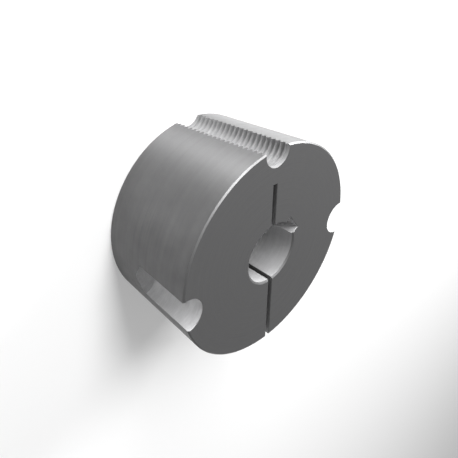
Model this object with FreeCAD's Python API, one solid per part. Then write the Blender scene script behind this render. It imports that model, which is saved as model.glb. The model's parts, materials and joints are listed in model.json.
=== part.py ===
import FreeCAD, Part
import math
import os

# Split taper bush: a short cone with a keyed bore, turned and milled from one piece of grey iron.
# It stands on its small face at z = 0, with +Z along the bore towards the large face.
# Places round the bush are clock angles: degrees from +Y towards +X, as a dial reads on the large face.
# All lengths are in millimetres and all angles in degrees.

# Driving dimensions of the cone
LARGE_END_DIAMETER = 85.725      # across the large face, before its rim is chamfered
BUSH_LENGTH = 44.45              # from face to face
TAPER_HALF_ANGLE = 4.0           # between the tapered side and the axis
RIM_CHAMFER_RADIAL = 0.6         # chamfer round both faces, measured across the face
RIM_CHAMFER_AXIAL = 0.45         # the same chamfer, measured along the axis

# Driving dimensions of the bore and its keyway
BORE_DIAMETER = 24.0
BORE_CHAMFER_RADIAL = 0.75
BORE_CHAMFER_AXIAL = 0.5
KEYWAY_WIDTH = 8.0
KEYWAY_DEPTH = 2.6               # beyond the bore wall, on the keyway's centre line
KEYWAY_CLOCK = 55.0

# Driving dimensions of the two slits that let the bush close on its shaft
SPLIT_WIDTH = 2.0                # the split runs from the bore out through the side
SPLIT_CLOCK = 180.0
RELIEF_SLIT_WIDTH = 2.0          # the relief slit stops inside the wall
RELIEF_SLIT_WEB = 5.75           # wall left between the relief slit and the thread's root

# Driving dimensions of the screw holes, which the bush shares half and half with its hub
SCREW_AXIS_INSET = 1.36          # from the large end's edge in to the axis of each screw
SCREW_POCKET_DIAMETER = 13.5
SCREW_POCKET_DEPTH = 25.0        # from the large face to the end of the straight wall
SCREW_POCKET_CLOCK = 95.0        # one pocket on each side of the jacking thread
DRILL_POINT_ANGLE = 118.0        # included angle of each pocket's pointed floor

# Driving dimensions of the jacking thread, half inch with twelve threads to the inch
THREAD_MAJOR_DIAMETER = 12.7
THREAD_PITCH = 25.4 / 12
THREAD_ANGLE = 55.0              # included angle of the thread's groove
THREAD_DEPTH_PER_PITCH = 0.5     # depth cut into the tapping hole's wall, for each unit of pitch
THREAD_CLOCK = 0.0

# Proportions of the thread form and room for the cutting shapes
ROOT_TRUNCATION = 1.0 / 6        # part of the sharp thread's height that the root leaves off
THREAD_SWEEP = 300.0             # angle of one groove segment, wide enough to leave the side
CUT_MARGIN = 1.0                 # how far a cutting shape reaches past the surface that it opens

large_radius = LARGE_END_DIAMETER / 2
small_radius = large_radius - BUSH_LENGTH * math.tan(math.radians(TAPER_HALF_ANGLE))
bore_radius = BORE_DIAMETER / 2
screw_pitch_radius = large_radius - SCREW_AXIS_INSET
thread_depth = THREAD_DEPTH_PER_PITCH * THREAD_PITCH
thread_major_radius = THREAD_MAJOR_DIAMETER / 2
thread_minor_radius = thread_major_radius - thread_depth
relief_slit_reach = screw_pitch_radius - thread_major_radius - RELIEF_SLIT_WEB

AXIS_POINT = FreeCAD.Vector(0, 0, 0)
AXIS = FreeCAD.Vector(0, 0, 1)


def at_clock(shape, clock):
    """Turn a shape that was drawn towards +Y to its clock angle."""
    turned = shape.copy()
    turned.rotate(AXIS_POINT, AXIS, -clock)
    return turned


def closed_face(points):
    """A flat face inside the closed outline through the points, given as (radius, height)."""
    corners = [FreeCAD.Vector(radius, 0, height) for radius, height in points]
    return Part.Face(Part.makePolygon(corners + corners[:1]))


def turned_blank():
    """The bush as it leaves the lathe: tapered side, two faces, bore and four chamfers."""
    slope = math.tan(math.radians(TAPER_HALF_ANGLE))
    side_low = small_radius + RIM_CHAMFER_AXIAL * slope
    side_high = large_radius - RIM_CHAMFER_AXIAL * slope
    section = closed_face([
        (bore_radius + BORE_CHAMFER_RADIAL, 0),
        (small_radius - RIM_CHAMFER_RADIAL, 0),
        (side_low, RIM_CHAMFER_AXIAL),
        (side_high, BUSH_LENGTH - RIM_CHAMFER_AXIAL),
        (large_radius - RIM_CHAMFER_RADIAL, BUSH_LENGTH),
        (bore_radius + BORE_CHAMFER_RADIAL, BUSH_LENGTH),
        (bore_radius, BUSH_LENGTH - BORE_CHAMFER_AXIAL),
        (bore_radius, BORE_CHAMFER_AXIAL),
    ])
    return section.revolve(AXIS_POINT, AXIS, 360)


def radial_slot(width, reach, clock):
    """A flat-sided slot from the axis out to a reach, through the whole length."""
    height = BUSH_LENGTH + 2 * CUT_MARGIN
    corner = FreeCAD.Vector(-width / 2, 0, -CUT_MARGIN)
    return at_clock(Part.makeBox(width, reach, height, corner), clock)


def screw_pocket(clock):
    """A blind drilled hole from the large face, centred near the rim so that half of it is open."""
    radius = SCREW_POCKET_DIAMETER / 2
    point_length = radius / math.tan(math.radians(DRILL_POINT_ANGLE / 2))
    floor = BUSH_LENGTH - SCREW_POCKET_DEPTH
    drilled = closed_face([
        (0, floor - point_length),
        (radius, floor),
        (radius, BUSH_LENGTH + CUT_MARGIN),
        (0, BUSH_LENGTH + CUT_MARGIN),
    ]).revolve(AXIS_POINT, AXIS, 360)
    drilled.translate(FreeCAD.Vector(0, screw_pitch_radius, 0))
    return at_clock(drilled, clock)


def thread_groove():
    """One turn of the thread's groove on the hole's inner side, about the hole's own axis."""
    half_angle = math.radians(THREAD_ANGLE / 2)
    sharp_height = THREAD_PITCH / (2 * math.tan(half_angle))
    sharp_radius = thread_major_radius + ROOT_TRUNCATION * sharp_height
    base_radius = thread_minor_radius - ROOT_TRUNCATION * thread_depth
    base_half = (sharp_radius - base_radius) * math.tan(half_angle)
    root_half = (sharp_radius - thread_major_radius) * math.tan(half_angle)
    profile = Part.makePolygon([
        FreeCAD.Vector(base_radius, 0, -base_half),
        FreeCAD.Vector(thread_major_radius, 0, -root_half),
        FreeCAD.Vector(thread_major_radius, 0, root_half),
        FreeCAD.Vector(base_radius, 0, base_half),
        FreeCAD.Vector(base_radius, 0, -base_half),
    ])
    rise = THREAD_PITCH * THREAD_SWEEP / 360
    helix = Part.Wire(Part.makeHelix(THREAD_PITCH, rise, thread_major_radius).Edges)
    groove = helix.makePipeShell([profile], True, True)
    groove.translate(FreeCAD.Vector(0, 0, -rise / 2))
    groove.rotate(AXIS_POINT, AXIS, -90 - THREAD_SWEEP / 2)
    return groove


def jacking_thread():
    """The tapping hole and its helical grooves, as the cutting shapes of a through thread."""
    place = FreeCAD.Vector(0, screw_pitch_radius, 0)
    hole = Part.makeCylinder(
        thread_minor_radius, BUSH_LENGTH + 2 * CUT_MARGIN, FreeCAD.Vector(0, 0, -CUT_MARGIN))
    hole.translate(place)
    shapes = [hole]
    groove = thread_groove()
    turns = math.ceil(BUSH_LENGTH / THREAD_PITCH) + 1
    for turn in range(turns + 1):
        ring = groove.copy()
        ring.translate(place + FreeCAD.Vector(0, 0, turn * THREAD_PITCH))
        shapes.append(ring)
    return [at_clock(shape, THREAD_CLOCK) for shape in shapes]


def taper_bush():
    """The finished bush, one solid."""
    keyway = radial_slot(KEYWAY_WIDTH, bore_radius + KEYWAY_DEPTH, KEYWAY_CLOCK)
    relief_slit = radial_slot(RELIEF_SLIT_WIDTH, relief_slit_reach, THREAD_CLOCK)
    split = radial_slot(SPLIT_WIDTH, large_radius + CUT_MARGIN, SPLIT_CLOCK)
    pockets = [screw_pocket(SCREW_POCKET_CLOCK), screw_pocket(-SCREW_POCKET_CLOCK)]
    body = turned_blank().cut([keyway, relief_slit, split] + pockets)
    threads = jacking_thread()
    body = body.cut(threads[0])
    return body.cut(threads[1:])


os.makedirs("parts", exist_ok=True)
bush = taper_bush()
print("solids", len(bush.Solids), "valid", bush.isValid(), "volume", round(bush.Volume, 1))
bush.Solids[0].exportStep("parts/taper_bush.step")
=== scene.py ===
"""Split taper bush: the finished model, its machined iron and a small studio.

The file is laid out as an add-on and is run as a script. Its tools stand in the sidebar in
workshop order: turn the blank, cut the keyway and slits, drill the screw pockets, bore through,
tap the thread, break the edges, finish the iron and set up the studio.
Lengths are in metres. A clock angle turns from +Y towards +X, as a dial on the large face.
"""

import json
import math

import bmesh
import bpy
from bpy.props import FloatProperty, FloatVectorProperty, PointerProperty
from mathutils import Matrix, Vector


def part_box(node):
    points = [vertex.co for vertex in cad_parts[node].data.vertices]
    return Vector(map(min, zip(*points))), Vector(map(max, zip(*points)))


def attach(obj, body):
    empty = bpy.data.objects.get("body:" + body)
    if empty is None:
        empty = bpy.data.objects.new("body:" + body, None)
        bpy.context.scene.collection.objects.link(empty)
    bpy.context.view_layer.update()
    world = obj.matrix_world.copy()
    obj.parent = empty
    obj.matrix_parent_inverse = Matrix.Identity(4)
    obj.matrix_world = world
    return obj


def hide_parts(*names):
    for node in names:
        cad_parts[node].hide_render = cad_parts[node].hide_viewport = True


bl_info = {
    "name": "Taper Bush",
    "version": (1, 0, 0),
    "blender": (4, 5, 0),
    "location": "View3D > Sidebar > Taper Bush",
    "description": "Models a split taper bush in machined iron inside its measured frame",
    "category": "Object",
}

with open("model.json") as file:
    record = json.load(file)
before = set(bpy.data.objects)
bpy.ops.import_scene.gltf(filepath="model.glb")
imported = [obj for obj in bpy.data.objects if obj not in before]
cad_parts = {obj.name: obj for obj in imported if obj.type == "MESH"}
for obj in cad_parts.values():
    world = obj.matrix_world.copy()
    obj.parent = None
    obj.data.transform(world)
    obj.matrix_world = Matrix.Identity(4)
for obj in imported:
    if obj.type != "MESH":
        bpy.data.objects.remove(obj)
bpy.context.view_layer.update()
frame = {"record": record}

# Names shared with the frame, and the name of the finished piece
NODE = "taper_bush"
BODY = "root"
PIECE = "machined_bush"

# What the frame gives
MM = 0.001
LOW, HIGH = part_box(NODE)
CENTRE = Vector((0, 0, (LOW.z + HIGH.z) / 2))
MOUNTS = {mount["name"]: mount for mount in frame["record"]["mounts"]}
KEY_SEAT = Vector(MOUNTS["keyway"]["pos_m"])
POCKET_MOUTH = Vector(MOUNTS["screw_pocket_right"]["pos_m"])
THREAD_MOUTH = Vector(MOUNTS["jacking_thread"]["pos_m"])
THREAD_FOOT = Vector((THREAD_MOUTH.x, THREAD_MOUTH.y, 0))

# Steps in a full turn of each round shape, and in the arc of the thread's root
LATHE_STEPS = 144
BORE_STEPS = 84
DRILL_STEPS = 48
THREAD_STEPS = 72
ROOT_STEPS = 4

# How far a cutting shape reaches past the bush, and the tap's turns beyond the bush's length
CUT_MARGIN = 1.0 * MM
SPARE_TURNS = 2

# Vertices this close are merged, and a face this close to a surface belongs to it
MERGE = 0.0005 * MM
NEAR = 0.06 * MM

# Edges flatter than the first angle are shaded smooth, and edges over the second can be filed
SHARP_ANGLE = math.radians(28)
SQUARE_ANGLE = math.radians(57.5)

# Cosine of the angle between a face's normal and a direction: the normal runs along it, or
# roughly along it, above the first two, and across it, or roughly across it, below the others
ALONG = 0.999
ROUGHLY_ALONG = 0.9
ACROSS = 0.001
ROUGHLY_ACROSS = 0.2

# Two sizes of turning mark: how many for each feed, and how far they wander round the axis
FINE_MARKS = (1.0, 1.3)
BROAD_MARKS = (0.14, 0.7)

# Share of the tool's even wave in the height of the marks
WAVE_SHARE = 0.35

# Scale of the noise along a saw's marks and in the dull patches, for each metre
SAW_SCALE = 60.0
MOTTLE_SCALE = 150.0

# How strongly patches show beside flecks, what dullness adds to roughness, how deep flecks are
MOTTLE_SHARE = 0.6
DULL_ROUGHNESS = 0.22
FLECK_DEPTH = 0.3

# The drawn-out shine lies across the marks, a quarter turn from the tangent round the axis
QUARTER_TURN = 0.25

# The photo looks from the first way, with the second way up
CAMERA_BACK = Vector((-1, 1, 1)).normalized()
CAMERA_UP = Vector((1, 2, -1)).normalized()

# The camera shows what lies between these distances
NEAREST_SEEN = 0.01
FARTHEST_SEEN = 50

# Gap between the floor and the bush, and the floor's roughness
FLOOR_GAP = 0.02 * MM
FLOOR_ROUGHNESS = 0.8

# White, for the sky and for the light added to the floor
WHITE = (1, 1, 1, 1)


def clock_of(place):
    """Clock angle of a place, from +Y towards +X."""
    return math.atan2(place.x, place.y)


def towards(clock, distance):
    """The place at a distance from the bore's axis on a clock angle."""
    return Vector((distance * math.sin(clock), distance * math.cos(clock), 0))


# Settings that a user would change

class TaperBushSizes(bpy.types.PropertyGroup):
    """Sizes of the bush, as a drawing of it would give them."""
    large_end: FloatProperty(
        name="Large end", description="Diameter of the taper at the large face",
        default=85.725 * MM, unit="LENGTH", subtype="DISTANCE")
    length: FloatProperty(
        name="Length", description="Distance from the small face to the large face",
        default=HIGH.z - LOW.z, unit="LENGTH", subtype="DISTANCE")
    taper: FloatProperty(
        name="Taper", description="Angle between the tapered side and the axis",
        default=math.radians(4), unit="ROTATION", subtype="ANGLE")
    rim_chamfer_width: FloatProperty(
        name="Rim chamfer width", description="Chamfer round each face, measured across the face",
        default=0.6 * MM, unit="LENGTH", subtype="DISTANCE")
    rim_chamfer_height: FloatProperty(
        name="Rim chamfer height", description="The same chamfer, measured along the axis",
        default=0.45 * MM, unit="LENGTH", subtype="DISTANCE")
    bore: FloatProperty(
        name="Bore", description="Diameter of the bore",
        default=2 * MOUNTS["shaft_bore"]["dims"]["r_mm"] * MM, unit="LENGTH", subtype="DISTANCE")
    bore_chamfer_width: FloatProperty(
        name="Bore chamfer width",
        description="Chamfer at each end of the bore, measured across the face",
        default=0.75 * MM, unit="LENGTH", subtype="DISTANCE")
    bore_chamfer_height: FloatProperty(
        name="Bore chamfer height", description="The same chamfer, measured along the axis",
        default=0.5 * MM, unit="LENGTH", subtype="DISTANCE")
    keyway_width: FloatProperty(
        name="Keyway width", description="Distance between the keyway's side walls",
        default=8 * MM, unit="LENGTH", subtype="DISTANCE")
    slit_width: FloatProperty(
        name="Slit width", description="Width of the split and of the relief slit",
        default=2 * MM, unit="LENGTH", subtype="DISTANCE")
    slit_web: FloatProperty(
        name="Slit web", description="Wall left between the relief slit and the thread's root",
        default=5.75 * MM, unit="LENGTH", subtype="DISTANCE")
    pocket: FloatProperty(
        name="Screw pocket", description="Diameter of each half-open screw pocket",
        default=13.5 * MM, unit="LENGTH", subtype="DISTANCE")
    pocket_depth: FloatProperty(
        name="Pocket depth", description="From the large face to the end of the straight wall",
        default=25 * MM, unit="LENGTH", subtype="DISTANCE")
    drill_point: FloatProperty(
        name="Drill point", description="Included angle of the pocket's pointed floor",
        default=math.radians(118), unit="ROTATION", subtype="ANGLE")
    edge_break: FloatProperty(
        name="Edge break", description="Chamfer left where a square edge's burr is filed off",
        default=0.15 * MM, unit="LENGTH", subtype="DISTANCE")


class TaperBushThread(bpy.types.PropertyGroup):
    """Sizes of the jacking thread."""
    major: FloatProperty(
        name="Major diameter", description="Diameter across the roots of the thread in the hole",
        default=12.7 * MM, unit="LENGTH", subtype="DISTANCE")
    pitch: FloatProperty(
        name="Pitch", description="Distance from one thread to the next",
        default=25.4 / 12 * MM, unit="LENGTH", subtype="DISTANCE")
    groove_angle: FloatProperty(
        name="Groove angle", description="Included angle between the two sides of the groove",
        default=math.radians(55), unit="ROTATION", subtype="ANGLE")
    depth_per_pitch: FloatProperty(
        name="Depth per pitch", description="Depth of the groove for each unit of pitch",
        default=0.5, subtype="FACTOR")
    root_radius_per_pitch: FloatProperty(
        name="Root radius per pitch",
        description="Radius of the groove's rounded root for each unit of pitch",
        default=0.137, subtype="FACTOR")


class TaperBushFinish(bpy.types.PropertyGroup):
    """Colours and texture of the machined iron."""
    iron: FloatVectorProperty(
        name="Iron", description="Colour of the freshly cut iron",
        default=(0.25, 0.25, 0.252), size=3, min=0, max=1, subtype="COLOR")
    graphite: FloatVectorProperty(
        name="Graphite", description="Colour of the graphite flecks and of the dull patches",
        default=(0.135, 0.135, 0.137), size=3, min=0, max=1, subtype="COLOR")
    roughness: FloatProperty(
        name="Roughness", description="Roughness of plain cut iron, before each cut's own change",
        default=0.45, min=0, max=1, subtype="FACTOR")
    feed: FloatProperty(
        name="Feed", description="Spacing of the marks that the lathe tool leaves",
        default=0.3 * MM, unit="LENGTH", subtype="DISTANCE")
    mark_depth: FloatProperty(
        name="Mark depth", description="Depth of the marks that the tools leave",
        default=0.005 * MM, unit="LENGTH", subtype="DISTANCE")


class TaperBushStudio(bpy.types.PropertyGroup):
    """Floor, lamps and camera."""
    floor_colour: FloatVectorProperty(
        name="Floor colour", description="Colour of the plain floor",
        default=(0.6, 0.6, 0.6), size=3, min=0, max=1, subtype="COLOR")
    floor_size: FloatProperty(
        name="Floor size", description="Length of the square floor's side",
        default=14.0, unit="LENGTH", subtype="DISTANCE")
    floor_lift: FloatProperty(
        name="Floor lift", description="White added to the floor where it or its mirror is seen",
        default=0.25, min=0, max=1, subtype="FACTOR")
    sky: FloatProperty(
        name="Sky", description="Strength of the even light from all round",
        default=0.27, min=0)
    key_power: FloatProperty(
        name="Key power", description="Power of the main lamp",
        default=18.5, min=0, unit="POWER", subtype="POWER")
    key_clock: FloatProperty(
        name="Key clock", description="Clock angle of the main lamp",
        default=math.radians(5), unit="ROTATION", subtype="ANGLE")
    key_rise: FloatProperty(
        name="Key rise", description="Angle of the main lamp's middle above the floor",
        default=math.radians(30), unit="ROTATION", subtype="ANGLE")
    low_power: FloatProperty(
        name="Low power", description="Power of the low lamp",
        default=13.0, min=0, unit="POWER", subtype="POWER")
    low_clock: FloatProperty(
        name="Low clock", description="Clock angle of the low lamp",
        default=math.radians(60), unit="ROTATION", subtype="ANGLE")
    low_rise: FloatProperty(
        name="Low rise", description="Angle of the low lamp's middle above the floor",
        default=math.radians(15), unit="ROTATION", subtype="ANGLE")
    fill_power: FloatProperty(
        name="Fill power", description="Power of the weak lamp",
        default=1.5, min=0, unit="POWER", subtype="POWER")
    fill_clock: FloatProperty(
        name="Fill clock", description="Clock angle of the weak lamp",
        default=math.radians(-60), unit="ROTATION", subtype="ANGLE")
    fill_rise: FloatProperty(
        name="Fill rise", description="Angle of the weak lamp's middle above the floor",
        default=math.radians(30), unit="ROTATION", subtype="ANGLE")
    lamp_distance: FloatProperty(
        name="Lamp distance", description="Distance from the bush to the middle of each lamp",
        default=0.9, unit="LENGTH", subtype="DISTANCE")
    lamp_width: FloatProperty(
        name="Lamp width", description="Width of each tall lamp",
        default=0.35, unit="LENGTH", subtype="DISTANCE")
    view_angle: FloatProperty(
        name="View angle", description="Angle that the camera takes in across the picture",
        default=math.radians(46.05), unit="ROTATION", subtype="ANGLE")
    view_distance: FloatProperty(
        name="View distance", description="Distance from the camera to the middle of the bush",
        default=210.9 * MM, unit="LENGTH", subtype="DISTANCE")


class Shape:
    """Places and radii worked out from the settings."""

    def __init__(self):
        size, thread = bpy.context.scene.bush_sizes, bpy.context.scene.bush_thread
        self.top = LOW.z + size.length
        self.large = size.large_end / 2
        self.slope = math.tan(size.taper)
        self.small = self.large - size.length * self.slope
        self.bore = size.bore / 2
        self.key_clock = clock_of(KEY_SEAT)
        self.key_reach = Vector((KEY_SEAT.x, KEY_SEAT.y)).length
        self.half_slit = size.slit_width / 2
        self.pocket = size.pocket / 2
        self.pocket_floor = self.top - size.pocket_depth
        self.thread_major = thread.major / 2
        self.thread_minor = self.thread_major - thread.depth_per_pitch * thread.pitch
        self.slit_reach = THREAD_MOUTH.y - self.thread_major - size.slit_web

    def side(self, height):
        """Radius of the tapered side at a height."""
        return self.small + (height - LOW.z) * self.slope


# Modelling helpers

def start_clean():
    """Leave edit mode and select nothing."""
    if bpy.context.mode != "OBJECT":
        bpy.ops.object.mode_set(mode="OBJECT")
    bpy.ops.object.select_all(action="DESELECT")


def take_up(piece):
    """Make one piece the selected and active one."""
    start_clean()
    piece.select_set(True)
    bpy.context.view_layer.objects.active = piece
    return piece


def draw_outline(name, points):
    """A closed line in the XZ plane, drawn by extruding one vertex from point to point."""
    start_clean()
    bpy.ops.mesh.primitive_plane_add(size=MM)
    piece = bpy.context.object
    piece.name = piece.data.name = name
    bpy.ops.object.mode_set(mode="EDIT")
    bpy.ops.mesh.select_all(action="SELECT")
    # The plane becomes the one vertex that the line grows from
    bpy.ops.mesh.merge(type="CENTER")
    places = [Vector((x, 0, z)) for x, z in points]
    bpy.ops.transform.translate(value=places[0])
    for start, end in zip(places, places[1:] + places[:1]):
        bpy.ops.mesh.extrude_vertices_move(TRANSFORM_OT_translate={"value": end - start})
    bpy.ops.mesh.select_all(action="SELECT")
    bpy.ops.mesh.remove_doubles(threshold=MERGE)
    bpy.ops.object.mode_set(mode="OBJECT")
    return piece


def close_up(piece):
    """Merge doubled vertices, cap open ends and turn all faces outwards."""
    take_up(piece)
    bpy.ops.object.mode_set(mode="EDIT")
    bpy.ops.mesh.select_all(action="SELECT")
    bpy.ops.mesh.remove_doubles(threshold=MERGE)
    bpy.ops.mesh.delete_loose(use_faces=False)
    bpy.ops.mesh.select_all(action="SELECT")
    bpy.ops.mesh.fill_holes(sides=0)
    bpy.ops.mesh.normals_make_consistent(inside=False)
    bpy.ops.object.mode_set(mode="OBJECT")
    return piece


def spin_outline(name, points, steps):
    """A closed body of revolution about Z from its outline."""
    piece = draw_outline(name, points)
    bpy.ops.object.mode_set(mode="EDIT")
    bpy.ops.mesh.select_all(action="SELECT")
    bpy.ops.mesh.spin(
        steps=steps, angle=2 * math.pi, center=(0, 0, 0), axis=(0, 0, 1), use_auto_merge=True)
    bpy.ops.object.mode_set(mode="OBJECT")
    return close_up(piece)


def flat_bar(name, width, reach, clock):
    """A flat-sided bar from the bore's axis out to a reach, longer than the bush."""
    size = bpy.context.scene.bush_sizes
    centre = towards(clock, reach / 2) + Vector((0, 0, LOW.z + size.length / 2))
    start_clean()
    bpy.ops.mesh.primitive_cube_add(
        size=1, location=centre, rotation=(0, 0, -clock),
        scale=(width, reach, size.length + 2 * CUT_MARGIN))
    bar = bpy.context.object
    bar.name = name
    return bar


def volume_of(piece):
    """Volume that a piece's mesh encloses."""
    shell = bmesh.new()
    shell.from_mesh(piece.data)
    volume = shell.calc_volume()
    shell.free()
    return volume


def cut_away(cutter):
    """Cut one shape out of the bush and clear it away."""
    bush = take_up(bpy.data.objects[PIECE])
    before = volume_of(bush)
    bpy.ops.object.modifier_add(type="BOOLEAN")
    cut = bush.modifiers[-1]
    cut.operation = "DIFFERENCE"
    cut.solver = "EXACT"
    cut.object = cutter
    bpy.ops.object.modifier_apply(modifier=cut.name)
    bpy.data.objects.remove(cutter)
    if not 0 < volume_of(bush) < before:
        raise RuntimeError("a cut took nothing off the bush, or all of it")


# Tools, one for each step of the work

class TurnBlank(bpy.types.Operator):
    """Turn the solid tapered blank with its faces and rim chamfers"""
    bl_idname = "taper_bush.turn_blank"
    bl_label = "Turn Blank"

    def execute(self, context):
        size, shape = context.scene.bush_sizes, Shape()
        low, top, rim = LOW.z, shape.top, size.rim_chamfer_height
        spin_outline(PIECE, [
            (0, low),
            (shape.small - size.rim_chamfer_width, low),
            (shape.side(low + rim), low + rim),
            (shape.side(top - rim), top - rim),
            (shape.large - size.rim_chamfer_width, top),
            (0, top),
        ], LATHE_STEPS)
        return {"FINISHED"}


class CutSlits(bpy.types.Operator):
    """Cut the keyway, the relief slit and the split"""
    bl_idname = "taper_bush.cut_slits"
    bl_label = "Cut Keyway and Slits"

    def execute(self, context):
        size, shape = context.scene.bush_sizes, Shape()
        thread_clock = clock_of(THREAD_MOUTH)
        split_clock = thread_clock + math.pi
        split_reach = shape.large + CUT_MARGIN
        cut_away(flat_bar("keyway_broach", size.keyway_width, shape.key_reach, shape.key_clock))
        cut_away(flat_bar("relief_saw", size.slit_width, shape.slit_reach, thread_clock))
        cut_away(flat_bar("split_saw", size.slit_width, split_reach, split_clock))
        return {"FINISHED"}


class DrillPockets(bpy.types.Operator):
    """Drill the two blind screw pockets with their pointed floors"""
    bl_idname = "taper_bush.drill_pockets"
    bl_label = "Drill Screw Pockets"

    def execute(self, context):
        shape = Shape()
        point = shape.pocket / math.tan(context.scene.bush_sizes.drill_point / 2)
        over = shape.top + CUT_MARGIN
        half_step = math.pi / DRILL_STEPS
        for side in (1, -1):
            drill = spin_outline("pocket_drill", [
                (0, shape.pocket_floor - point),
                (shape.pocket, shape.pocket_floor),
                (shape.pocket, over),
                (0, over),
            ], DRILL_STEPS)
            drill.location = (side * POCKET_MOUTH.x, POCKET_MOUTH.y, 0)
            # A flat of the drill, and not a corner, faces the bore's axis
            drill.rotation_euler.z = math.pi / 2 - clock_of(drill.location) + half_step
            cut_away(drill)
        return {"FINISHED"}


class BoreThrough(bpy.types.Operator):
    """Bore the blank and countersink both ends"""
    bl_idname = "taper_bush.bore_through"
    bl_label = "Bore Through"

    def execute(self, context):
        size, shape = context.scene.bush_sizes, Shape()
        lean = size.bore_chamfer_width / size.bore_chamfer_height
        wide = shape.bore + size.bore_chamfer_width + CUT_MARGIN * lean
        under, over = LOW.z - CUT_MARGIN, shape.top + CUT_MARGIN
        cut_away(spin_outline("boring_bar", [
            (0, under),
            (wide, under),
            (shape.bore, LOW.z + size.bore_chamfer_height),
            (shape.bore, shape.top - size.bore_chamfer_height),
            (wide, over),
            (0, over),
        ], BORE_STEPS))
        return {"FINISHED"}


class TapThread(bpy.types.Operator):
    """Drill the screw hole through and tap the jacking thread's helical groove"""
    bl_idname = "taper_bush.tap_thread"
    bl_label = "Tap Thread"

    def execute(self, context):
        thread, shape = context.scene.bush_thread, Shape()
        under, over = LOW.z - CUT_MARGIN, shape.top + CUT_MARGIN
        drill = spin_outline("tapping_drill", [
            (0, under),
            (shape.thread_minor, under),
            (shape.thread_minor, over),
            (0, over),
        ], THREAD_STEPS)
        drill.location = THREAD_FOOT
        cut_away(drill)

        # The groove's section: two straight sides that meet a rounded root
        half = thread.groove_angle / 2
        root = thread.root_radius_per_pitch * thread.pitch
        centre = shape.thread_major - root
        base = shape.thread_minor - root
        base_half = (centre + root / math.sin(half) - base) * math.tan(half)
        outline = [(base, base_half), (base, -base_half)]
        for step in range(ROOT_STEPS + 1):
            turn = (math.pi / 2 - half) * (2 * step / ROOT_STEPS - 1)
            outline.append((centre + root * math.cos(turn), root * math.sin(turn)))

        tap = draw_outline("tap", outline)
        bpy.ops.object.modifier_add(type="SCREW")
        sweep = tap.modifiers[-1]
        sweep.angle = 2 * math.pi
        sweep.screw_offset = thread.pitch
        sweep.iterations = math.ceil(context.scene.bush_sizes.length / thread.pitch) + SPARE_TURNS
        sweep.steps = sweep.render_steps = THREAD_STEPS
        bpy.ops.object.modifier_apply(modifier=sweep.name)
        close_up(tap)
        # The tap starts a pitch below the small face, so that its end leaves no mark
        tap.location = (THREAD_MOUTH.x, THREAD_MOUTH.y, LOW.z - thread.pitch)
        cut_away(tap)
        return {"FINISHED"}


class BreakEdges(bpy.types.Operator):
    """File a small chamfer on the square edges of the slits, the keyway and the screw pockets"""
    bl_idname = "taper_bush.break_edges"
    bl_label = "Break Edges"

    def execute(self, context):
        size, shape = context.scene.bush_sizes, Shape()
        bore_reach = shape.bore + size.bore_chamfer_width + NEAR
        thread_reach = shape.thread_major + size.edge_break + NEAR

        def gets_filed(edge):
            """True for a square edge away from the bore, the thread and the pockets' floors."""
            middle = (edge.verts[0].co + edge.verts[1].co) / 2
            beside_pocket = abs(middle.x) > POCKET_MOUTH.x - shape.pocket
            flat = Vector((middle.x, middle.y, 0))
            return (
                edge.is_manifold and edge.is_convex
                and edge.calc_face_angle() > SQUARE_ANGLE
                and not (beside_pocket and middle.z < shape.pocket_floor)
                and flat.length > bore_reach
                and (flat - THREAD_FOOT).length > thread_reach)

        bush = close_up(bpy.data.objects[PIECE])
        bpy.ops.object.mode_set(mode="EDIT")
        bpy.ops.mesh.select_mode(type="EDGE")
        bpy.ops.mesh.select_all(action="DESELECT")
        shell = bmesh.from_edit_mesh(bush.data)
        for edge in shell.edges:
            edge.select_set(gets_filed(edge))
        bmesh.update_edit_mesh(bush.data)
        bpy.ops.mesh.bevel(
            offset=size.edge_break, segments=1, affect="EDGES", clamp_overlap=False)
        bpy.ops.object.mode_set(mode="OBJECT")
        return {"FINISHED"}


class FinishIron(bpy.types.Operator):
    """Give each cut surface its own machined iron, with painted light in its tone, and fix the
    bush to the frame
    """
    bl_idname = "taper_bush.finish_iron"
    bl_label = "Finish Iron"

    def execute(self, context):
        bush = close_up(bpy.data.objects[PIECE])
        bpy.ops.object.shade_smooth_by_angle(angle=SHARP_ANGLE)
        groups = {group.name: group for group in (
            make_turning_marks(), make_straight_marks(), make_iron_grain(), make_iron_skin())}
        finishes = list_finishes()
        for name, finish in finishes.items():
            bush.data.materials.append(make_iron(name, finish, groups))
        take_up(bush)
        bpy.ops.object.mode_set(mode="EDIT")
        bpy.ops.mesh.select_mode(type="FACE")
        shape = Shape()
        for slot, name in enumerate(finishes):
            shell = bmesh.from_edit_mesh(bush.data)
            for face in shell.faces:
                middle = face.calc_center_median()
                face.select_set(surface_at(middle, face.normal, shape) == name)
            bmesh.update_edit_mesh(bush.data)
            bush.active_material_index = slot
            bpy.ops.object.material_slot_assign()
        bpy.ops.object.mode_set(mode="OBJECT")
        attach(bush, BODY)
        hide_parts(NODE)
        return {"FINISHED"}


class SetUpStudio(bpy.types.Operator):
    """Lay the floor, stand the lamps and place the camera"""
    bl_idname = "taper_bush.set_up_studio"
    bl_label = "Set Up Studio"

    def execute(self, context):
        studio = context.scene.bush_studio
        context.scene.view_settings.view_transform = "Standard"
        lay_floor(studio)
        light_room(studio)
        place_camera(studio)
        return {"FINISHED"}


# Which tool cut which face, and how it left the iron, with painted light in each cut's tone

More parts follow.
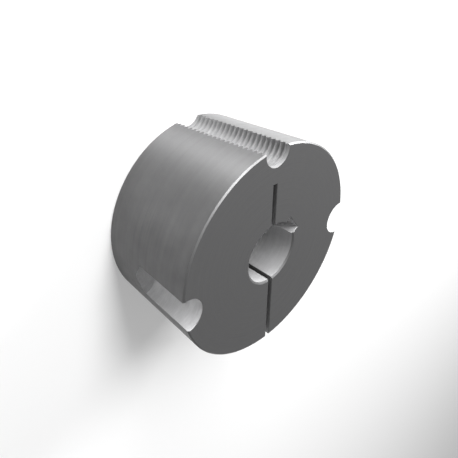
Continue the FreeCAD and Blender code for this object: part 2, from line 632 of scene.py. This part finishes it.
def surface_at(place, normal, shape):
    """Name of the cut surface that a face belongs to, told by its place and its normal."""
    flat = Vector((place.x, place.y, 0))
    radius = flat.length
    upright = abs(normal.z) < ROUGHLY_ACROSS
    outwards = normal.dot(flat) / radius
    if abs(normal.z) > ALONG:
        return "turned_face"
    if abs(radius - shape.side(place.z)) < NEAR and outwards > ROUGHLY_ALONG:
        return "turned_taper"
    if upright and abs(radius - shape.bore) < NEAR and outwards < -ROUGHLY_ALONG:
        return "bored_wall"
    for side, name in ((1, "drilled_pocket_right"), (-1, "drilled_pocket_left")):
        reach = (flat - Vector((side * POCKET_MOUTH.x, POCKET_MOUTH.y, 0))).length
        # A narrower limit outside the wall leaves out the pocket's filed edges
        if reach < shape.pocket - NEAR or (upright and reach < shape.pocket + NEAR / 3):
            return name
    if (flat - THREAD_FOOT).length < shape.thread_major + NEAR:
        return "tapped_thread"
    if abs(normal.x) > ALONG and abs(abs(place.x) - shape.half_slit) < NEAR:
        return "sawn_slit"
    if normal.y < -ALONG and abs(place.y - shape.slit_reach) < NEAR:
        return "sawn_slit"
    key = towards(shape.key_clock, 1)
    if upright and abs(normal.dot(key)) < ACROSS and flat.dot(key) > shape.bore / 2:
        return "broached_keyway"
    if normal.dot(key) < -ALONG and abs(flat.dot(key) - shape.key_reach) < NEAR:
        return "broached_keyway"
    return "filed_edge"


class IronFinish:
    """How one kind of cut leaves the iron."""

    def __init__(self, marks, feed=1.0, facing=0.0, centre=(0, 0), turn=(0, 0, 0),
                 roughness=0.0, tone=1.0, marked=0.3, stretch=0.0):
        self.marks = marks          # the group that draws the tool marks
        self.feed = feed            # spacing of the marks, for each unit of the lathe's feed
        self.facing = facing        # 0 for marks up a wall, 1 for marks across a face
        self.centre = centre        # the axis that the marks run round
        self.turn = turn            # turns the straight marks to the cut
        self.roughness = roughness  # added to the iron's roughness
        self.tone = tone            # brightness for each unit of the iron's colour, partly the cut's own and partly painted light
        self.marked = marked        # how strongly the marks show
        self.stretch = stretch      # how far the shine is drawn out across the marks


def list_finishes():
    """The finish of each cut surface, by the surface's name."""
    thread = (THREAD_FOOT.x, THREAD_FOOT.y)
    right = (POCKET_MOUTH.x, POCKET_MOUTH.y)
    left = (-POCKET_MOUTH.x, POCKET_MOUTH.y)
    # The tones are partly the cut's own brightness and partly painted light: the bore, the
    # pockets, the keyway, the thread and the slits are coloured far brighter to stand in for light
    # that does not reach into them, and the face and the taper are darkened to set how bright they
    # render under the lamps
    drilled = {"feed": 1.4, "tone": 2.5, "roughness": 0.35}
    return {
        "turned_face": IronFinish(
            "turning_marks", facing=1.0, tone=0.82, roughness=0.15),
        "turned_taper": IronFinish(
            "turning_marks", tone=0.7, roughness=-0.03, marked=0.24, stretch=0.8),
        "bored_wall": IronFinish(
            "turning_marks", feed=0.8, tone=2.3, roughness=0.25),
        "drilled_pocket_right": IronFinish(
            "turning_marks", centre=right, **drilled),
        "drilled_pocket_left": IronFinish(
            "turning_marks", centre=left, **drilled),
        "tapped_thread": IronFinish(
            "turning_marks", feed=0.5, centre=thread, tone=1.5, roughness=0.15),
        "sawn_slit": IronFinish(
            "straight_marks", feed=1.2, turn=(0, math.pi / 2, 0), tone=1.4, roughness=0.2),
        "broached_keyway": IronFinish(
            "straight_marks", turn=(0, 0, clock_of(KEY_SEAT)), tone=2.6, roughness=0.3),
        "filed_edge": IronFinish(
            "turning_marks", tone=1.0, marked=0.15),
    }


# Materials

def add_node(tree, kind, inputs=None, **settings):
    """A node with its settings; its inputs are numbers or other nodes' outputs."""
    node = tree.nodes.new(kind)
    for name, value in settings.items():
        setattr(node, name, value)
    for name, value in (inputs or {}).items():
        if isinstance(value, bpy.types.NodeSocket):
            tree.links.new(value, node.inputs[name])
        else:
            node.inputs[name].default_value = value
    return node


def calculate(tree, operation, first, second=0.0, third=0.0):
    """The result of a Math node."""
    inputs = {0: first, 1: second, 2: third}
    return add_node(tree, "ShaderNodeMath", inputs, operation=operation).outputs[0]


def spread(tree, value, low, high):
    """A value brought from a range to between nought and one, and held there."""
    inputs = {"Value": value, "From Min": low, "From Max": high}
    return add_node(tree, "ShaderNodeMapRange", inputs).outputs["Result"]


def noise(tree, vector, scale, detail, roughness):
    """The grey value of a Noise Texture."""
    inputs = {"Vector": vector, "Scale": scale, "Detail": detail, "Roughness": roughness}
    return add_node(tree, "ShaderNodeTexNoise", inputs).outputs["Fac"]


def start_group(name, inputs, outputs):
    """A shader node group with its sockets: the group, its inputs and its output node."""
    group = bpy.data.node_groups.new(name, "ShaderNodeTree")
    for label, kind, default in inputs:
        socket = group.interface.new_socket(
            name=label, in_out="INPUT", socket_type=f"NodeSocket{kind}")
        if default is not None:
            socket.default_value = default
    for label, kind in outputs:
        group.interface.new_socket(
            name=label, in_out="OUTPUT", socket_type=f"NodeSocket{kind}")
    given = group.nodes.new("NodeGroupInput").outputs
    return group, given, group.nodes.new("NodeGroupOutput")


def finish_group(group, output, results):
    """Join the results to the group's output node."""
    for label, value in results.items():
        group.links.new(value, output.inputs[label])
    return group


def make_turning_marks():
    """Marks that a lathe tool or a drill leaves round the Z axis, on a wall or on a face."""
    group, given, output = start_group(
        "turning_marks",
        [("Vector", "Vector", None), ("Feed", "Float", 0.3 * MM), ("Facing", "Float", 0.0)],
        [("Height", "Float"), ("Streak", "Float")])
    split = add_node(group, "ShaderNodeSeparateXYZ", {0: given["Vector"]}).outputs
    flat = add_node(
        group, "ShaderNodeCombineXYZ", {"X": split["X"], "Y": split["Y"]}).outputs[0]
    radius = add_node(
        group, "ShaderNodeVectorMath", {0: flat}, operation="LENGTH").outputs["Value"]
    outwards = add_node(
        group, "ShaderNodeVectorMath", {0: flat}, operation="NORMALIZE").outputs["Vector"]
    turn = add_node(group, "ShaderNodeSeparateXYZ", {0: outwards}).outputs
    across = add_node(group, "ShaderNodeMix", {
        "Factor": given["Facing"], "A": split["Z"], "B": radius}).outputs["Result"]
    lines = calculate(group, "DIVIDE", across, given["Feed"])
    patterns = []
    for marks_per_feed, wander in (FINE_MARKS, BROAD_MARKS):
        place = add_node(group, "ShaderNodeCombineXYZ", {
            "X": calculate(group, "MULTIPLY", lines, marks_per_feed),
            "Y": calculate(group, "MULTIPLY", turn["X"], wander),
            "Z": calculate(group, "MULTIPLY", turn["Y"], wander)}).outputs[0]
        patterns.append(noise(group, place, scale=1.0, detail=3.0, roughness=0.6))
    fine, broad = patterns
    # One wave for each feed, between nought and one
    wave = calculate(group, "SINE", calculate(group, "MULTIPLY", lines, 2 * math.pi))
    wave = calculate(group, "MULTIPLY_ADD", wave, 0.5, 0.5)
    height = calculate(
        group, "MULTIPLY_ADD", wave, WAVE_SHARE,
        calculate(group, "MULTIPLY", fine, 1 - WAVE_SHARE))
    streak = calculate(
        group, "MULTIPLY_ADD", fine, 0.5, calculate(group, "MULTIPLY", broad, 0.5))
    return finish_group(group, output, {
        "Height": height, "Streak": spread(group, streak, low=0.32, high=0.68)})


def make_straight_marks():
    """Marks that a saw or a broach leaves, as lines across the X axis."""
    group, given, output = start_group(
        "straight_marks",
        [("Vector", "Vector", None), ("Feed", "Float", 0.3 * MM)],
        [("Height", "Float"), ("Streak", "Float")])
    split = add_node(group, "ShaderNodeSeparateXYZ", {0: given["Vector"]}).outputs
    place = add_node(group, "ShaderNodeCombineXYZ", {
        "X": calculate(group, "DIVIDE", split["X"], given["Feed"]),
        "Y": calculate(group, "MULTIPLY", split["Y"], SAW_SCALE),
        "Z": calculate(group, "MULTIPLY", split["Z"], SAW_SCALE)}).outputs[0]
    streak = noise(group, place, scale=1.0, detail=3.0, roughness=0.65)
    return finish_group(group, output, {
        "Height": streak, "Streak": spread(group, streak, low=0.3, high=0.7)})


def make_iron_grain():
    """Graphite flecks and dull patches of grey iron."""
    group, given, output = start_group(
        "iron_grain",
        [("Vector", "Vector", None), ("Fleck Size", "Float", 0.25 * MM)],
        [("Mottle", "Float"), ("Fleck", "Float")])
    fleck_scale = calculate(group, "DIVIDE", 1.0, given["Fleck Size"])
    fleck = noise(group, given["Vector"], fleck_scale, detail=2.0, roughness=0.7)
    mottle = noise(group, given["Vector"], MOTTLE_SCALE, detail=4.0, roughness=0.6)
    return finish_group(group, output, {
        "Mottle": spread(group, mottle, low=0.3, high=0.7),
        "Fleck": spread(group, fleck, low=0.55, high=0.75)})


def make_iron_skin():
    """Colour, roughness and height of cut iron from its marks and its grain."""
    group, given, output = start_group(
        "iron_skin",
        [("Iron", "Color", None), ("Graphite", "Color", None), ("Roughness", "Float", 0.45),
         ("Mark Contrast", "Float", 0.3), ("Grain Contrast", "Float", 0.3),
         ("Height", "Float", 0.5), ("Streak", "Float", 0.5),
         ("Mottle", "Float", 0.5), ("Fleck", "Float", 0.0)],
        [("Color", "Color"), ("Roughness", "Float"), ("Height", "Float")])
    marks = calculate(group, "MULTIPLY", given["Streak"], given["Mark Contrast"])
    mottle = calculate(group, "MULTIPLY", given["Mottle"], MOTTLE_SHARE)
    grain = calculate(group, "MAXIMUM", mottle, given["Fleck"])
    grain = calculate(group, "MULTIPLY", grain, given["Grain Contrast"])
    dull = spread(group, calculate(group, "ADD", marks, grain), low=0.0, high=1.0)
    colour = add_node(group, "ShaderNodeMix", {
        "Factor": dull, "A": given["Iron"], "B": given["Graphite"]}, data_type="RGBA")
    roughness = calculate(group, "MULTIPLY_ADD", dull, DULL_ROUGHNESS, given["Roughness"])
    pits = calculate(group, "MULTIPLY", given["Fleck"], FLECK_DEPTH)
    return finish_group(group, output, {
        "Color": colour.outputs["Result"],
        "Roughness": roughness,
        "Height": calculate(group, "SUBTRACT", given["Height"], pits)})


def make_iron(name, cut, groups):
    """A material for one kind of cut."""
    finish = bpy.context.scene.bush_finish
    material = bpy.data.materials.new(name)
    material.use_nodes = True
    tree = material.node_tree
    shader = tree.nodes["Principled BSDF"]
    place = add_node(tree, "ShaderNodeTexCoord").outputs["Object"]
    centred = add_node(tree, "ShaderNodeMapping", {
        "Vector": place, "Location": (-cut.centre[0], -cut.centre[1], 0)}).outputs[0]
    if any(cut.turn):
        centred = add_node(tree, "ShaderNodeMapping", {
            "Vector": centred, "Rotation": cut.turn}).outputs[0]

    marks = add_node(tree, "ShaderNodeGroup", node_tree=groups[cut.marks])
    tree.links.new(centred, marks.inputs["Vector"])
    marks.inputs["Feed"].default_value = finish.feed * cut.feed
    if "Facing" in marks.inputs:
        marks.inputs["Facing"].default_value = cut.facing
    grain = add_node(tree, "ShaderNodeGroup", node_tree=groups["iron_grain"])
    tree.links.new(place, grain.inputs["Vector"])

    skin = add_node(tree, "ShaderNodeGroup", node_tree=groups["iron_skin"])
    # Painted light: the tone lifts the colour of the recessed cuts and lowers that of the face and
    # the taper
    skin.inputs["Iron"].default_value = (*[cut.tone * part for part in finish.iron], 1)
    skin.inputs["Graphite"].default_value = (*[cut.tone * part for part in finish.graphite], 1)
    skin.inputs["Roughness"].default_value = finish.roughness + cut.roughness
    skin.inputs["Mark Contrast"].default_value = cut.marked
    for source, labels in ((marks, ("Height", "Streak")), (grain, ("Mottle", "Fleck"))):
        for label in labels:
            tree.links.new(source.outputs[label], skin.inputs[label])

    bump = add_node(tree, "ShaderNodeBump", {
        "Height": skin.outputs["Height"], "Strength": 1.0, "Distance": finish.mark_depth})
    tree.links.new(skin.outputs["Color"], shader.inputs["Base Color"])
    tree.links.new(skin.outputs["Roughness"], shader.inputs["Roughness"])
    tree.links.new(bump.outputs["Normal"], shader.inputs["Normal"])
    shader.inputs["Metallic"].default_value = 1.0
    if cut.stretch:
        shader.inputs["Anisotropic"].default_value = cut.stretch
        shader.inputs["Anisotropic Rotation"].default_value = QUARTER_TURN
        round_axis = add_node(tree, "ShaderNodeTangent", direction_type="RADIAL", axis="Z")
        tree.links.new(round_axis.outputs["Tangent"], shader.inputs["Tangent"])
    return material


# Studio

def lay_floor(studio):
    """A plain pale floor just under the small face."""
    start_clean()
    bpy.ops.mesh.primitive_plane_add(size=studio.floor_size, location=(0, 0, LOW.z - FLOOR_GAP))
    floor = bpy.context.object
    floor.name = "floor"
    bpy.ops.object.transform_apply(location=True, rotation=True, scale=True)
    paint = bpy.data.materials.new("pale_floor")
    paint.use_nodes = True
    tree = paint.node_tree
    shader = tree.nodes["Principled BSDF"]
    shader.inputs["Base Color"].default_value = (*studio.floor_colour, 1)
    shader.inputs["Roughness"].default_value = FLOOR_ROUGHNESS
    shader.inputs["Emission Color"].default_value = WHITE
    ray = add_node(tree, "ShaderNodeLightPath").outputs
    seen = calculate(tree, "MAXIMUM", ray["Is Camera Ray"], ray["Is Glossy Ray"])
    seen = calculate(tree, "MAXIMUM", seen, ray["Is Transmission Ray"])
    lift = calculate(tree, "MULTIPLY", seen, studio.floor_lift)
    tree.links.new(lift, shader.inputs["Emission Strength"])
    floor.data.materials.append(paint)


def stand_lamp(name, clock, rise, power, studio):
    """A tall soft lamp that looks at the bush and reaches down to the floor."""
    away = towards(clock, math.cos(rise)) + Vector((0, 0, math.sin(rise)))
    middle = CENTRE + away * studio.lamp_distance
    start_clean()
    bpy.ops.object.light_add(type="AREA", location=middle)
    lamp = bpy.context.object
    lamp.name = name
    lamp.rotation_euler = away.to_track_quat("Z", "Y").to_euler()
    lamp.data.shape = "RECTANGLE"
    lamp.data.size = studio.lamp_width
    lamp.data.size_y = 2 * (middle.z - LOW.z) / math.cos(rise)
    lamp.data.energy = power


def light_room(studio):
    """Even light from all round, a main lamp on the thread's side and two lesser ones."""
    world = bpy.data.worlds.new("studio")
    bpy.context.scene.world = world
    world.use_nodes = True
    background = world.node_tree.nodes["Background"]
    background.inputs["Color"].default_value = WHITE
    background.inputs["Strength"].default_value = studio.sky
    stand_lamp("key_lamp", studio.key_clock, studio.key_rise, studio.key_power, studio)
    stand_lamp("low_lamp", studio.low_clock, studio.low_rise, studio.low_power, studio)
    stand_lamp("fill_lamp", studio.fill_clock, studio.fill_rise, studio.fill_power, studio)


def place_camera(studio):
    """The photo's view: down at the large face from one side, with +Y up in the picture."""
    right = CAMERA_UP.cross(CAMERA_BACK)
    turn = Matrix((right, CAMERA_UP, CAMERA_BACK)).transposed().to_4x4()
    start_clean()
    bpy.ops.object.camera_add()
    camera = bpy.context.object
    camera.name = "photo_camera"
    place = CENTRE + CAMERA_BACK * studio.view_distance
    camera.matrix_world = Matrix.Translation(place) @ turn
    camera.data.angle = studio.view_angle
    camera.data.clip_start = NEAREST_SEEN
    camera.data.clip_end = FARTHEST_SEEN
    bpy.context.scene.camera = camera


# Sidebar, registration and run

STEPS = (
    TurnBlank, CutSlits, DrillPockets, BoreThrough, TapThread, BreakEdges, FinishIron, SetUpStudio)
SETTINGS = {
    "bush_sizes": TaperBushSizes,
    "bush_thread": TaperBushThread,
    "bush_finish": TaperBushFinish,
    "bush_studio": TaperBushStudio,
}


class TAPER_BUSH_PT_sidebar(bpy.types.Panel):
    """Lists the tools and their settings"""
    bl_idname = "TAPER_BUSH_PT_sidebar"
    bl_label = "Taper Bush"
    bl_space_type = "VIEW_3D"
    bl_region_type = "UI"
    bl_category = "Taper Bush"

    def draw(self, context):
        for step in STEPS:
            self.layout.operator(step.bl_idname)
        for name, group in SETTINGS.items():
            box = self.layout.box()
            box.label(text=group.__doc__)
            for setting in group.__annotations__:
                box.prop(getattr(context.scene, name), setting)


def register():
    for name, group in SETTINGS.items():
        bpy.utils.register_class(group)
        setattr(bpy.types.Scene, name, PointerProperty(type=group))
    for step in STEPS:
        bpy.utils.register_class(step)
    bpy.utils.register_class(TAPER_BUSH_PT_sidebar)


def unregister():
    bpy.utils.unregister_class(TAPER_BUSH_PT_sidebar)
    for step in reversed(STEPS):
        bpy.utils.unregister_class(step)
    for name, group in SETTINGS.items():
        delattr(bpy.types.Scene, name)
        bpy.utils.unregister_class(group)


def main():
    register()
    bpy.ops.taper_bush.turn_blank()
    bpy.ops.taper_bush.cut_slits()
    bpy.ops.taper_bush.drill_pockets()
    bpy.ops.taper_bush.bore_through()
    bpy.ops.taper_bush.tap_thread()
    bpy.ops.taper_bush.break_edges()
    bpy.ops.taper_bush.finish_iron()
    bpy.ops.taper_bush.set_up_studio()


if __name__ == "__main__":
    main()
